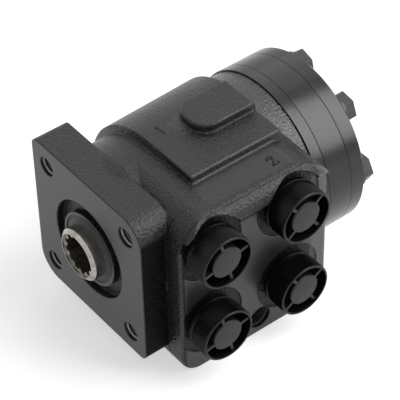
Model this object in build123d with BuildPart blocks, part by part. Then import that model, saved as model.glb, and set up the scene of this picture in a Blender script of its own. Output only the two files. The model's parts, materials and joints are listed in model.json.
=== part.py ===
from build123d import *
import os
from math import atan, cos, hypot, pi, radians, sin, sqrt, tan

# Orbital steering unit, load sensing, 100 cm3 per turn.
# Millimetres.  The origin is the middle of the column face, on the shaft axis:
# +X runs from the column face to the end cover, the ports face -Y, +Z is up.

os.makedirs("parts", exist_ok=True)

# ---- casting: column flange ------------------------------------------------
FLANGE_SIDE = 80.0
FLANGE_THICK = 18.0
FLANGE_CORNER_R = 4.0
FLANGE_ROUND_CORNER_R = 12.0
COLUMN_PCD = 82.5
COLUMN_HOLE_R = 5.0
COLUMN_HOLE_DEPTH = 15.0
GROOVE_OUTER_R = 24.7
GROOVE_INNER_R = 18.4
GROOVE_DEPTH = 4.0

# ---- casting: body ---------------------------------------------------------
HOUSING_LENGTH = 98.0
NECK_R = 41.4
NECK_DRAFT = 2.0
OVERLAP = 1.0
SADDLE_START = 33.5
BARREL_LENGTH = 12.0
PAD_RISE = 3.6
PAD_EDGE_Y = -30.5
PAD_DRAFT = 1.2
CAST_EDGE_R = 0.8
BARREL_R = 43.2
SADDLE_SWELL = 1.6
BOSS_LENGTH = 31.5
BOSS_WIDTH = 22.0
BOSS_Y = -3.0
BOSS_RISE = 4.2
BOSS_ROUND_R = 9.5
BOSS_TAPER = 10.0

# ---- casting: port block ---------------------------------------------------
PORT_FACE_Y = -51.0
BLOCK_START = 13.0
BLOCK_SETBACK = 2.0
BLOCK_BOTTOM = -50.0
BLOCK_BACK = 14.0
LIP = 4.0
LIP_HEIGHT = 14.4
LIP_SLOPE = 6.0
LIP_ROUND_R = 8.0
BLOCK_EDGE_R = 2.5
BLOCK_R_LOW_FRONT = 10.0
BLOCK_R_LOW_REAR = 4.0
BLOCK_R_TOP_FRONT = 15.0
BLOCK_R_TOP_REAR = 20.0
PORT_X = (28.5, 72.5)
PORT_Z = (22.5, -22.5)
SPOTFACE_R = 17.5
SPOTFACE_DEPTH = 0.5
PORT_MOUTH_R = 10.5
PORT_MOUTH_DEPTH = 4.0
PORT_THREAD_R = 9.35
PORT_THREAD_LENGTH = 13.0
PORT_DRILL_R = 5.0
PORT_DRILL_END_Y = -22.0
SENSE_X = 56.5
SENSE_Z = -39.4
SENSE_R = 6.0
SENSE_DEPTH = 15.0

# ---- gear set, plate and cover ---------------------------------------------
STACK_R = 44.0
PLATE_THICK = 5.7
RIM_THICK = 13.0
COVER_THICK = 8.0
COVER_CHAMFER = 0.8
LOBES = 7
LOBE_CIRCLE_R = 31.0
LOBE_R = 7.5
RIM_VALLEY_R = 29.6
ECCENTRICITY = 3.0
GEAR_CLEARANCE = 0.2
ROTOR_SIDE_CLEARANCE = 0.03
ROTOR_CURVE_STEPS = 16
FIRST_BOLT_ANGLE = 180.0
BOLT_CIRCLE_R = 35.0
BOLT_R = 4.0
BOLT_CLEARANCE = 0.2
BOLT_TAP_DEPTH = 14.0
BOLT_HEAD_AF = 13.0
BOLT_HEAD_HEIGHT = 5.3
BOLT_HEAD_BEVEL = 12.0
BOLT_TIP_GAP = 2.0
WASHER_R = 8.0
WASHER_THICK = 1.5
SEAL_GROOVE_INNER_R = 40.2
SEAL_GROOVE_OUTER_R = 42.4
SEAL_GROOVE_DEPTH = 1.2
SEAL_SQUEEZE = 0.05

# ---- valve set ---------------------------------------------------------------
RUNNING_FIT = 0.03
SLEEVE_R = 20.0
SPOOL_R = 15.0
SPOOL_NECK_R = 13.0
SPOOL_PROTRUSION = 6.8
SPOOL_END_CHAMFER = 1.5
SPOOL_BORE_R = 11.5
SPOOL_WEB_END = 25.0
SPLINE_TEETH = 12
TOOTH_SINK = 0.3
SPLINE_MAJOR_R = 10.25
SPLINE_MINOR_R = 8.75
SPLINE_DEPTH = 19.0
SPLINE_MOUTH_R = 11.4
SPLINE_MOUTH_DEPTH = 1.2
PIN_X = 33.0
PIN_R = 4.0
DEFLECTION = 10.0
SPRING_X = 21.4
SPRING_WIDTH = 3.6
SPRING_THICK = 0.8
SPRING_GAP = 0.5
RING_THICK = 1.2
RING_WIDTH = 5.0
PIN_CLEARANCE = 0.04
PIN_INSET = 0.6
SLEEVE_GROOVE_OFFSET = 14.0
SLEEVE_GROOVE_DEPTH = 1.5
SLEEVE_GROOVE_WIDTH = 5.0
SLEEVE_HOLES = 6
SLEEVE_HOLE_R = 1.6

# ---- shaft seals and thrust bearing ----------------------------------------
SEAL_SEAT_R = 17.0
DUST_SEAL_LENGTH = 3.5
SEAL_LIP = 1.0
SHAFT_SEAL_START = 6.0
SHAFT_SEAL_LENGTH = 4.5
SEAL_ROUND_R = 1.2
SEAL_ROUND_LIMIT = 0.4
SHAFT_HOLE_CLEARANCE = 0.35
BEARING_START = 12.0
RACE_THICK = 1.2
RACE_HOLE_CLEARANCE = 0.3
NEEDLE_R = 1.0
NEEDLES = 18
BEARING_OUTER_R = 19.6
BEARING_GAP = 0.05

# ---- cardan shaft ------------------------------------------------------------
CARDAN_START = 26.2
CARDAN_HEAD_R = 10.4
CARDAN_HEAD_LENGTH = 16.0
CARDAN_ROD_R = 7.0
CARDAN_SPLINE_LENGTH = 8.0
CARDAN_CLEARANCE = 0.3
CARDAN_ROOT_R = 7.6
DISTANCE_PIECE_R = 8.0
DISTANCE_PIECE_LENGTH = 2.0
PLATE_HOLE_R = 14.0
PLATE_PORT_CIRCLE_R = 26.5
PLATE_PORT_R = 2.5

# ---- check valve, in the end face of the casting ---------------------------
CHECK_Y = -27.0
CHECK_Z = -17.0
CHECK_BORE_R = 5.0
CHECK_BORE_DEPTH = 20.0
CHECK_SEAT_LENGTH = 7.0
CHECK_SEAT_HOLE_R = 2.4
CHECK_BALL_R = 3.5
CHECK_LIFT = 2.0
CHECK_DRILL_R = 2.5
CHECK_DRILL_PAST_PORT = 0.5
CHECK_STOP_HOLE_R = 1.2
CHECK_STOP_HOLE_CIRCLE_R = 3.1
CHECK_SEAT_GAP = 0.02
CHECK_STOP_GAP = 0.1

# ---- plastic port plugs ------------------------------------------------------
PLUG_RING_R = 13.5
PLUG_COLLAR_R = 12.8
PLUG_COLLAR_LENGTH = 3.0
PLUG_HEIGHT = 13.2
PLUG_RING_WALL = 1.3
PLUG_CUP_DEPTH = 8.5
PLUG_HUB_R = 7.9
PLUG_HUB_DROP = 0.6
PLUG_SPOKE = 1.5
PLUG_NOSE_R = 9.9
PLUG_NOSE_LENGTH = 3.2
PLUG_NOSE_BORE_R = 7.6
PLUG_SEAT_GAP = 0.1
PLUG_TURNS = {"a": 14.0, "b": 14.0, "c": 33.0, "d": 40.0}

# ---- worked out from the above ------------------------------------------------
FLANGE_HALF = FLANGE_SIDE / 2
SADDLE_END = HOUSING_LENGTH - BARREL_LENGTH
BLOCK_END = HOUSING_LENGTH - BLOCK_SETBACK
LIP_FOOT_Z = NECK_R - LIP_HEIGHT
PAD_Z = NECK_R + PAD_RISE
PAD_FOOT_Z = NECK_R - OVERLAP
SADDLE_R = PAD_Z
SPOTFACE_Y = PORT_FACE_Y + SPOTFACE_DEPTH
PLATE_START = HOUSING_LENGTH
RIM_START = PLATE_START + PLATE_THICK
COVER_START = RIM_START + RIM_THICK
COVER_END = COVER_START + COVER_THICK
SLEEVE_END = HOUSING_LENGTH - RUNNING_FIT
BORE_R = SLEEVE_R + RUNNING_FIT
SPOOL_FIT_R = SPOOL_R + RUNNING_FIT
SHAFT_HOLE_R = SPOOL_NECK_R + SHAFT_HOLE_CLEARANCE
ROTOR_THICK = RIM_THICK - 2 * ROTOR_SIDE_CLEARANCE
ROTOR_MID = RIM_START + RIM_THICK / 2
BOLT_STEP = 360.0 / LOBES
BOLT_HOLE_R = BOLT_R + BOLT_CLEARANCE
ECCENTRIC_Y = ECCENTRICITY * cos(radians(FIRST_BOLT_ANGLE))
ECCENTRIC_Z = ECCENTRICITY * sin(radians(FIRST_BOLT_ANGLE))
CAGE_START = BEARING_START + RACE_THICK + BEARING_GAP
INNER_RACE_START = CAGE_START + 2 * NEEDLE_R + BEARING_GAP
RACE_HOLE_R = SHAFT_HOLE_R + RACE_HOLE_CLEARANCE
SLEEVE_START = INNER_RACE_START + RACE_THICK + BEARING_GAP
SPOOL_NECK_END = SLEEVE_START + BEARING_GAP
CHECK_BORE_END = HOUSING_LENGTH - CHECK_BORE_DEPTH
CHECK_DRILL_DEPTH = CHECK_BORE_END - PORT_X[1] + CHECK_DRILL_PAST_PORT
CHECK_SEAT_END = CHECK_BORE_END + CHECK_SEAT_LENGTH
CHECK_BALL_X = CHECK_SEAT_END + sqrt(CHECK_BALL_R**2 - CHECK_SEAT_HOLE_R**2) + CHECK_SEAT_GAP
CHECK_STOP_START = CHECK_BALL_X + CHECK_BALL_R + CHECK_LIFT + CHECK_STOP_GAP


def across(x):
    """Plane square to the shaft at x: its own x is +Y, its own y is +Z, it faces +X."""
    return Plane(origin=(x, 0, 0), x_dir=(0, 1, 0), z_dir=(1, 0, 0))


def ports(y):
    """Plane parallel to the port face at y: its own x is +X, its own y is +Z, it faces -Y."""
    return Plane(origin=(0, y, 0), x_dir=(1, 0, 0), z_dir=(0, -1, 0))


def port_centres():
    return Locations(*[(x, z) for x in PORT_X for z in PORT_Z])


def bolt_places(first=0, count=LOBES):
    start = FIRST_BOLT_ANGLE + first * BOLT_STEP
    return PolarLocations(BOLT_CIRCLE_R, count, start_angle=start, angular_range=count * BOLT_STEP)


def finish(part, label):
    """Name a finished piece and write its file."""
    part.label = label
    export_step(part, f"parts/{label}.step")


def spline_tooth(root_r, tip_r, thickness):
    """Corners of one straight-sided 30 degree spline tooth that stands on +X."""
    middle = (root_r + tip_r) / 2
    half = [thickness / 2 + abs(r - middle) * (1 if abs(r - root_r) < 0.01 else -1) * tan(radians(30))
            for r in (root_r, tip_r)]
    return [(root_r, -half[0]), (tip_r, -half[1]), (tip_r, half[1]), (root_r, half[0])]


def rotor_point(t):
    """Point of the rotor's conjugate outline for the parameter t, in radians."""
    pin_r = LOBE_R + GEAR_CLEARANCE
    turn = atan(sin((1 - LOBES) * t)
                / (LOBE_CIRCLE_R / (ECCENTRICITY * LOBES) - cos((1 - LOBES) * t)))
    x = LOBE_CIRCLE_R * cos(t) - pin_r * cos(t + turn) - ECCENTRICITY * cos(LOBES * t)
    y = LOBE_CIRCLE_R * sin(t) - pin_r * sin(t + turn) - ECCENTRICITY * sin(LOBES * t)
    return (x, y)


# ---- housing -------------------------------------------------------------------
def rounded_block(face_y, *section):
    """Part of the port block that ends at face_y: the block's outline with its front edges
    rounded, cut to a section square to the shaft."""
    with BuildPart(mode=Mode.PRIVATE) as block:
        with BuildSketch(ports(BLOCK_BACK)) as outline:
            with Locations((BLOCK_START, BLOCK_BOTTOM)):
                Rectangle(BLOCK_END - BLOCK_START, NECK_R - BLOCK_BOTTOM,
                          align=(Align.MIN, Align.MIN))
            for x, z, radius in ((BLOCK_START, BLOCK_BOTTOM, BLOCK_R_LOW_FRONT),
                                 (BLOCK_END, BLOCK_BOTTOM, BLOCK_R_LOW_REAR),
                                 (BLOCK_START, NECK_R, BLOCK_R_TOP_FRONT),
                                 (BLOCK_END, NECK_R, BLOCK_R_TOP_REAR)):
                fillet(outline.vertices().sort_by_distance((x, z, 0))[0], radius)
        extrude(amount=BLOCK_BACK - face_y)
        fillet(block.faces().sort_by(Axis.Y)[0].edges(), BLOCK_EDGE_R)
        with BuildSketch(across(BLOCK_START)) as cut:
            with BuildLine():
                Polyline(*section, close=True)
            make_face()
            lip_top = (PORT_FACE_Y - LIP, NECK_R)
            if lip_top in section:
                fillet(cut.vertices().sort_by_distance(lip_top)[0], LIP_ROUND_R)
        extrude(amount=BLOCK_END - BLOCK_START, mode=Mode.INTERSECT)
    return block.part


# Flat pad that squares off the saddle towards the ports.
with BuildPart() as pad:
    with BuildSketch(across(SADDLE_START + PAD_DRAFT)):
        with BuildLine():
            Polyline((0, 0), (PAD_EDGE_Y - PAD_DRAFT, 0), (PAD_EDGE_Y - PAD_DRAFT, PAD_FOOT_Z),
                     (PAD_EDGE_Y, PAD_Z), (0, PAD_Z), close=True)
        make_face()
    extrude(amount=SADDLE_END - SADDLE_START - 2 * PAD_DRAFT)
    top_edges = pad.faces().sort_by(Axis.Z)[-1].edges()
    fillet(top_edges.sort_by(Axis.Y)[:-1], CAST_EDGE_R)

with BuildPart() as housing:
    # column flange, with two opposite corners well rounded
    with BuildSketch(across(0)) as flange_outline:
        Rectangle(FLANGE_SIDE, FLANGE_SIDE)
        low_corner = (FLANGE_HALF, -FLANGE_HALF, 0)
        fillet(flange_outline.vertices().sort_by_distance(low_corner)[1:3], FLANGE_CORNER_R)
        corners = flange_outline.vertices().sort_by_distance(low_corner)
        fillet([corners[0], corners[-1]], FLANGE_ROUND_CORNER_R)
    extrude(amount=FLANGE_THICK)
    # neck, saddle and barrel about the valve bore
    with BuildSketch(Plane.XY):
        with BuildLine():
            Polyline((FLANGE_THICK / 2, 0), (FLANGE_THICK / 2, NECK_R - NECK_DRAFT),
                     (FLANGE_THICK, NECK_R), (SADDLE_START, NECK_R),
                     (SADDLE_START + PAD_DRAFT, SADDLE_R),
                     (SADDLE_END - PAD_DRAFT, SADDLE_R + SADDLE_SWELL),
                     (SADDLE_END, BARREL_R), (HOUSING_LENGTH, BARREL_R), (HOUSING_LENGTH, 0),
                     close=True)
        make_face()
    revolve(axis=Axis.X)
    # port block: the face that holds the ports, and the lip that overhangs it
    add(rounded_block(PORT_FACE_Y, (BLOCK_BACK, BLOCK_BOTTOM), (PORT_FACE_Y, BLOCK_BOTTOM),
                      (PORT_FACE_Y, LIP_FOOT_Z + LIP_SLOPE), (PAD_EDGE_Y, NECK_R), (0, NECK_R),
                      (BLOCK_BACK, 0)))
    add(rounded_block(PORT_FACE_Y - LIP, (PAD_EDGE_Y, LIP_FOOT_Z), (PORT_FACE_Y, LIP_FOOT_Z),
                      (PORT_FACE_Y - LIP, LIP_FOOT_Z + LIP_SLOPE), (PORT_FACE_Y - LIP, NECK_R),
                      (PAD_EDGE_Y, NECK_R)))
    add(pad.part)
    # U-shaped boss on the pad
    with BuildSketch(Plane.XY.offset(PAD_Z - OVERLAP)) as boss_outline:
        with Locations((SADDLE_END - PAD_DRAFT, BOSS_Y)):
            Rectangle(BOSS_LENGTH, BOSS_WIDTH, align=(Align.MAX, Align.CENTER))
        fillet(boss_outline.vertices().group_by(Axis.X)[0], BOSS_ROUND_R)
    extrude(amount=BOSS_RISE + OVERLAP, taper=BOSS_TAPER)
    fillet(housing.faces().sort_by(Axis.Z)[-1].edges(), CAST_EDGE_R)
    # face groove round the shaft boss
    with BuildSketch(across(0)):
        Circle(GROOVE_OUTER_R)
        Circle(GROOVE_INNER_R, mode=Mode.SUBTRACT)
    extrude(amount=GROOVE_DEPTH, mode=Mode.SUBTRACT)
    # stepped bore: dust seal seat, shaft hole, shaft seal seat, valve bore
    with BuildSketch(Plane.XY):
        with BuildLine():
            Polyline((0, 0), (0, SEAL_SEAT_R), (DUST_SEAL_LENGTH, SEAL_SEAT_R),
                     (DUST_SEAL_LENGTH, SHAFT_HOLE_R), (SHAFT_SEAL_START, SHAFT_HOLE_R),
                     (SHAFT_SEAL_START, SEAL_SEAT_R),
                     (SHAFT_SEAL_START + SHAFT_SEAL_LENGTH, SEAL_SEAT_R),
                     (SHAFT_SEAL_START + SHAFT_SEAL_LENGTH, SHAFT_HOLE_R),
                     (BEARING_START, SHAFT_HOLE_R), (BEARING_START, BORE_R),
                     (HOUSING_LENGTH, BORE_R), (HOUSING_LENGTH, 0), close=True)
        make_face()
    revolve(axis=Axis.X, mode=Mode.SUBTRACT)
    # four holes for the steering column
    with Locations(across(0)):
        with PolarLocations(COLUMN_PCD / 2, 4, start_angle=45):
            Hole(COLUMN_HOLE_R, depth=COLUMN_HOLE_DEPTH)
    # spotfaces, thread mouths, threads and drillings of the four ports
    for y, radius, depth in ((PORT_FACE_Y - LIP, SPOTFACE_R, LIP + SPOTFACE_DEPTH),
                             (SPOTFACE_Y, PORT_MOUTH_R, PORT_MOUTH_DEPTH),
                             (SPOTFACE_Y, PORT_THREAD_R, PORT_MOUTH_DEPTH + PORT_THREAD_LENGTH),
                             (SPOTFACE_Y, PORT_DRILL_R, PORT_DRILL_END_Y - SPOTFACE_Y)):
        with BuildSketch(ports(y)):
            with port_centres():
                Circle(radius)
        extrude(amount=-depth, mode=Mode.SUBTRACT)
    # load sensing port
    with BuildSketch(ports(PORT_FACE_Y)):
        with Locations((SENSE_X, SENSE_Z)):
            Circle(SENSE_R)
    extrude(amount=-SENSE_DEPTH, mode=Mode.SUBTRACT)
    # tapped holes of the gear set's bolts
    with BuildSketch(across(HOUSING_LENGTH)):
        with bolt_places():
            Circle(BOLT_HOLE_R)
    extrude(amount=-BOLT_TAP_DEPTH, mode=Mode.SUBTRACT)
    # check valve bore and the drilling below its seat
    with BuildSketch(across(HOUSING_LENGTH)):
        with Locations((CHECK_Y, CHECK_Z)):
            Circle(CHECK_BORE_R)
    extrude(amount=-CHECK_BORE_DEPTH, mode=Mode.SUBTRACT)
    with BuildSketch(across(CHECK_BORE_END)):
        with Locations((CHECK_Y, CHECK_Z)):
            Circle(CHECK_DRILL_R)
    extrude(amount=-CHECK_DRILL_DEPTH, mode=Mode.SUBTRACT)
finish(housing.part, "housing")


# ---- shaft seals ---------------------------------------------------------------
with BuildPart() as dust_seal:
    with BuildSketch(Plane.XY):
        with BuildLine():
            Polyline((-SEAL_LIP, SPOOL_NECK_R + RUNNING_FIT), (-SEAL_LIP, SPOOL_NECK_R + 1.2),
                     (0.4, SEAL_SEAT_R - 1.0), (0.4, SEAL_SEAT_R), (DUST_SEAL_LENGTH, SEAL_SEAT_R),
                     (DUST_SEAL_LENGTH, SPOOL_NECK_R + 1.0), (1.2, SPOOL_NECK_R + RUNNING_FIT),
                     close=True)
        make_face()
    revolve(axis=Axis.X)
finish(dust_seal.part, "dust_seal")

with BuildPart() as shaft_seal:
    seal_height = SEAL_SEAT_R - SPOOL_NECK_R - RUNNING_FIT
    with BuildSketch(Plane.XY):
        with Locations((SHAFT_SEAL_START + SHAFT_SEAL_LENGTH / 2, SEAL_SEAT_R - seal_height / 2)):
            RectangleRounded(SHAFT_SEAL_LENGTH, seal_height,
                             min(SEAL_ROUND_R, SEAL_ROUND_LIMIT * seal_height))
    revolve(axis=Axis.X)
finish(shaft_seal.part, "shaft_seal")


# ---- thrust bearing ------------------------------------------------------------
def race(start):
    """One flat race of the thrust bearing, standing from start."""
    with BuildPart(mode=Mode.PRIVATE) as washer:
        with BuildSketch(across(start)):
            Circle(BEARING_OUTER_R)
            Circle(RACE_HOLE_R, mode=Mode.SUBTRACT)
        extrude(amount=RACE_THICK)
    return washer.part


finish(race(BEARING_START), "bearing_outer_race")
finish(race(INNER_RACE_START), "bearing_inner_race")

with BuildPart() as bearing_cage:
    needle_length = BEARING_OUTER_R - RACE_HOLE_R - 2.0
    needle_middle = (BEARING_OUTER_R + RACE_HOLE_R) / 2
    with BuildSketch(across(CAGE_START + NEEDLE_R / 2)):
        Circle(BEARING_OUTER_R)
        Circle(RACE_HOLE_R, mode=Mode.SUBTRACT)
    extrude(amount=NEEDLE_R)
    for k in range(NEEDLES):
        turn = radians(k * 360.0 / NEEDLES)
        radial = (0, cos(turn), sin(turn))
        centre = (CAGE_START + NEEDLE_R, needle_middle * radial[1], needle_middle * radial[2])
        with BuildSketch(Plane(origin=centre, z_dir=radial)):
            RegularPolygon(NEEDLE_R, 8)
        extrude(amount=needle_length / 2, both=True)
finish(bearing_cage.part, "bearing_needle_cage")


# ---- spool ---------------------------------------------------------------------
pin_plane = Plane(origin=(PIN_X, 0, 0), x_dir=(1, 0, 0), z_dir=(0, -1, 0))
spring_plane = Plane(origin=(SPRING_X, 0, 0), x_dir=(1, 0, 0), z_dir=(0, -1, 0))
spring_stack = 2 * SPRING_THICK + SPRING_GAP

with BuildPart() as spool:
    with BuildSketch(Plane.XY):
        with BuildLine():
            Polyline((-SPOOL_PROTRUSION, 0), (-SPOOL_PROTRUSION, SPLINE_MOUTH_R),
                     (-SPOOL_PROTRUSION + SPOOL_END_CHAMFER, SPOOL_NECK_R),
                     (SPOOL_NECK_END, SPOOL_NECK_R), (SPOOL_NECK_END, SPOOL_R),
                     (SLEEVE_END, SPOOL_R), (SLEEVE_END, 0), close=True)
        make_face()
    revolve(axis=Axis.X)
    # splined socket for the column shaft
    with BuildSketch(across(-SPOOL_PROTRUSION)):
        Circle(SPLINE_MAJOR_R)
    extrude(amount=SPLINE_DEPTH, mode=Mode.SUBTRACT)
    with BuildSketch(across(-SPOOL_PROTRUSION)):
        Circle(SPLINE_MOUTH_R - 0.4)
    extrude(amount=SPLINE_MOUTH_DEPTH, mode=Mode.SUBTRACT)
    tooth_thickness = pi * (SPLINE_MAJOR_R + SPLINE_MINOR_R) / 2 / SPLINE_TEETH
    with BuildSketch(across(SPLINE_MOUTH_DEPTH - SPOOL_PROTRUSION)):
        with PolarLocations(0, SPLINE_TEETH):
            Polygon(*spline_tooth(SPLINE_MAJOR_R + TOOTH_SINK, SPLINE_MINOR_R, tooth_thickness), align=None)
    extrude(amount=SPLINE_DEPTH - SPLINE_MOUTH_DEPTH)
    # bore for the cardan shaft
    with BuildSketch(across(SPOOL_WEB_END)):
        Circle(SPOOL_BORE_R)
    extrude(amount=SLEEVE_END - SPOOL_WEB_END, mode=Mode.SUBTRACT)
    # holes that let the cross pin move through the spool's deflection
    pin_play = SPOOL_R * sin(radians(DEFLECTION))
    with BuildSketch(pin_plane):
        Circle(PIN_R + pin_play + 0.3)
    extrude(amount=SPOOL_R + 1, both=True, mode=Mode.SUBTRACT)
    # slot for the centring springs
    with BuildSketch(spring_plane):
        Rectangle(SPRING_WIDTH + 0.4, spring_stack + 0.2)
    extrude(amount=SPOOL_R + 1, both=True, mode=Mode.SUBTRACT)
finish(spool.part, "spool")


# ---- sleeve --------------------------------------------------------------------
with BuildPart() as sleeve:
    with BuildSketch(across(SLEEVE_START)):
        Circle(SLEEVE_R)
        Circle(SPOOL_FIT_R, mode=Mode.SUBTRACT)
    extrude(amount=SLEEVE_END - SLEEVE_START)
    # metering holes in line with the ports, and the grooves that feed them
    for x in (PORT_X[0] + SLEEVE_GROOVE_OFFSET, PORT_X[1]):
        with BuildSketch(across(x)):
            Circle(SLEEVE_R + 1)
            Circle(SLEEVE_R - SLEEVE_GROOVE_DEPTH, mode=Mode.SUBTRACT)
        extrude(amount=SLEEVE_GROOVE_WIDTH / 2, both=True, mode=Mode.SUBTRACT)
        for k in range(SLEEVE_HOLES):
            turn = radians((k + 0.5) * 360.0 / SLEEVE_HOLES)
            radial = (0, cos(turn), sin(turn))
            with BuildSketch(Plane(origin=(x, 0, 0), z_dir=radial)):
                Circle(SLEEVE_HOLE_R)
            extrude(amount=SLEEVE_R + 1, mode=Mode.SUBTRACT)
    # bores for the cross pin
    with BuildSketch(pin_plane):
        Circle(PIN_R + PIN_CLEARANCE)
    extrude(amount=SLEEVE_R + 1, both=True, mode=Mode.SUBTRACT)
    # slot for the centring springs, and the groove of the ring that holds them
    with BuildSketch(spring_plane):
        Rectangle(SPRING_WIDTH + 0.4, spring_stack + 0.2)
    extrude(amount=SLEEVE_R + 1, both=True, mode=Mode.SUBTRACT)
    with BuildSketch(across(SPRING_X)):
        Circle(SLEEVE_R + 1)
        Circle(SLEEVE_R - RING_THICK, mode=Mode.SUBTRACT)
    extrude(amount=RING_WIDTH / 2, both=True, mode=Mode.SUBTRACT)
finish(sleeve.part, "sleeve")

with BuildPart() as spring_ring:
    with BuildSketch(across(SPRING_X)):
        Circle(SLEEVE_R - 0.1)
        Circle(SLEEVE_R - RING_THICK + 0.05, mode=Mode.SUBTRACT)
    extrude(amount=(RING_WIDTH - 0.2) / 2, both=True)
finish(spring_ring.part, "spring_ring")

# Two flat springs and the bowed pair between them, as they sit in the slots.
with BuildPart() as centring_springs:
    for side in (-1, 1):
        with BuildSketch(Plane.XY.offset(side * (SPRING_GAP + SPRING_THICK) / 2)):
            with Locations((SPRING_X, 0)):
                Rectangle(SPRING_WIDTH, 2 * (SLEEVE_R - RING_THICK - 0.2))
        extrude(amount=SPRING_THICK / 2, both=True)
finish(centring_springs.part, "centring_springs")

with BuildPart() as cross_pin:
    with BuildSketch(pin_plane):
        Circle(PIN_R)
    extrude(amount=SLEEVE_R - PIN_INSET, both=True)
    chamfer(cross_pin.edges().filter_by(GeomType.CIRCLE), 0.5)
finish(cross_pin.part, "cross_pin")


# ---- cardan shaft --------------------------------------------------------------
eccentric_dir = (0, cos(radians(FIRST_BOLT_ANGLE)), sin(radians(FIRST_BOLT_ANGLE)))
cardan_axis = Vector(ROTOR_MID - PIN_X, ECCENTRIC_Y, ECCENTRIC_Z).normalized()
cardan_length = hypot(ROTOR_MID - PIN_X, ECCENTRICITY)


def along_cardan(distance):
    """Plane square to the tilted cardan axis, at a distance from the cross pin."""
    origin = Vector(PIN_X, 0, 0) + cardan_axis * distance
    return Plane(origin=origin, x_dir=Vector(0, 0, 1).cross(cardan_axis), z_dir=cardan_axis)


with BuildPart() as cardan_shaft:
    cardan_head_start = CARDAN_START - PIN_X
    cardan_head_end = cardan_head_start + CARDAN_HEAD_LENGTH
    spline_start = cardan_length - CARDAN_SPLINE_LENGTH / 2
    with BuildSketch(along_cardan(0)):
        Circle(CARDAN_HEAD_R)
    extrude(amount=cardan_head_end)
    extrude(cardan_shaft.faces().sort_by(Axis.X)[0], amount=-cardan_head_start)
    chamfer(cardan_shaft.edges().filter_by(GeomType.CIRCLE), 1.0)
    with BuildSketch(along_cardan(cardan_head_end - 1)):
        Circle(CARDAN_ROD_R)
    extrude(amount=spline_start - cardan_head_end + 2)
    with BuildSketch(along_cardan(spline_start)):
        Circle(CARDAN_ROOT_R)
        with PolarLocations(0, SPLINE_TEETH):
            Polygon(*spline_tooth(CARDAN_ROOT_R - TOOTH_SINK,
                                  SPLINE_MAJOR_R - CARDAN_CLEARANCE,
                                  tooth_thickness - 3 * CARDAN_CLEARANCE), align=None)
    extrude(amount=CARDAN_SPLINE_LENGTH)
    # fork slot for the cross pin
    slot_plane = Plane(origin=(PIN_X, 0, 0), x_dir=cardan_axis,
                       z_dir=cardan_axis.cross(Vector(0, 0, 1)))
    with BuildSketch(slot_plane):
        with Locations((PIN_R + 1.0, 0)):
            Rectangle(CARDAN_HEAD_LENGTH + PIN_R, 2 * (PIN_R + PIN_CLEARANCE),
                      align=(Align.MAX, Align.CENTER))
    extrude(amount=CARDAN_HEAD_R + 1, both=True, mode=Mode.SUBTRACT)
finish(cardan_shaft.part, "cardan_shaft")


# ---- distributor plate, gear rim, rotor, cover ----------------------------------
with BuildPart() as distributor_plate:
    with BuildSketch(across(PLATE_START)):
        Circle(STACK_R)
        Circle(PLATE_HOLE_R, mode=Mode.SUBTRACT)
        with bolt_places():
            Circle(BOLT_HOLE_R, mode=Mode.SUBTRACT)
        with PolarLocations(PLATE_PORT_CIRCLE_R, LOBES, start_angle=FIRST_BOLT_ANGLE + BOLT_STEP / 2):
            Circle(PLATE_PORT_R, mode=Mode.SUBTRACT)
    extrude(amount=PLATE_THICK)
    with BuildSketch(across(PLATE_START)):
        Circle(SEAL_GROOVE_OUTER_R)
        Circle(SEAL_GROOVE_INNER_R, mode=Mode.SUBTRACT)
    extrude(amount=SEAL_GROOVE_DEPTH, mode=Mode.SUBTRACT)
finish(distributor_plate.part, "distributor_plate")

with BuildPart() as gear_rim:
    with BuildSketch(across(RIM_START)):
        Circle(STACK_R)
        Circle(RIM_VALLEY_R, mode=Mode.SUBTRACT)
        with PolarLocations(LOBE_CIRCLE_R, LOBES, start_angle=FIRST_BOLT_ANGLE):
            Circle(LOBE_R)
        with bolt_places():
            Circle(BOLT_HOLE_R, mode=Mode.SUBTRACT)
    extrude(amount=RIM_THICK)
    for x, depth in ((RIM_START, SEAL_GROOVE_DEPTH), (COVER_START, -SEAL_GROOVE_DEPTH)):
        with BuildSketch(across(x)):
            Circle(SEAL_GROOVE_OUTER_R)
            Circle(SEAL_GROOVE_INNER_R, mode=Mode.SUBTRACT)
        extrude(amount=depth, mode=Mode.SUBTRACT)
finish(gear_rim.part, "gear_rim")

with BuildPart() as rotor:
    teeth = LOBES - 1
    rotor_plane = Plane(origin=(RIM_START + ROTOR_SIDE_CLEARANCE, ECCENTRIC_Y, ECCENTRIC_Z),
                        x_dir=eccentric_dir, z_dir=(1, 0, 0))
    with BuildSketch(rotor_plane):
        with BuildLine():
            # one curve from tip to tip for each tooth gap
            for k in range(teeth):
                angles = [(2 * k - 1 + 2 * j / ROTOR_CURVE_STEPS) * pi / teeth
                          for j in range(ROTOR_CURVE_STEPS + 1)]
                Spline(*[rotor_point(t) for t in angles])
        make_face()
        Circle(SPLINE_MAJOR_R, mode=Mode.SUBTRACT)
        with PolarLocations(0, SPLINE_TEETH, start_angle=180.0 / SPLINE_TEETH):
            Polygon(*spline_tooth(SPLINE_MAJOR_R + TOOTH_SINK, SPLINE_MINOR_R, tooth_thickness), align=None)
    extrude(amount=ROTOR_THICK)
finish(rotor.part, "rotor")

with BuildPart() as distance_piece:
    with BuildSketch(rotor_plane.offset(ROTOR_THICK - DISTANCE_PIECE_LENGTH)):
        Circle(DISTANCE_PIECE_R)
    extrude(amount=DISTANCE_PIECE_LENGTH)
finish(distance_piece.part, "distance_piece")

with BuildPart() as end_cover:
    with BuildSketch(across(COVER_START)):
        Circle(STACK_R)
        with bolt_places():
            Circle(BOLT_HOLE_R, mode=Mode.SUBTRACT)
    extrude(amount=COVER_THICK)
    outer_edge = end_cover.edges().filter_by(GeomType.CIRCLE).group_by(Axis.X)[-1].sort_by(
        SortBy.RADIUS)[-1]
    chamfer(outer_edge, COVER_CHAMFER)
finish(end_cover.part, "end_cover")


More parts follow.
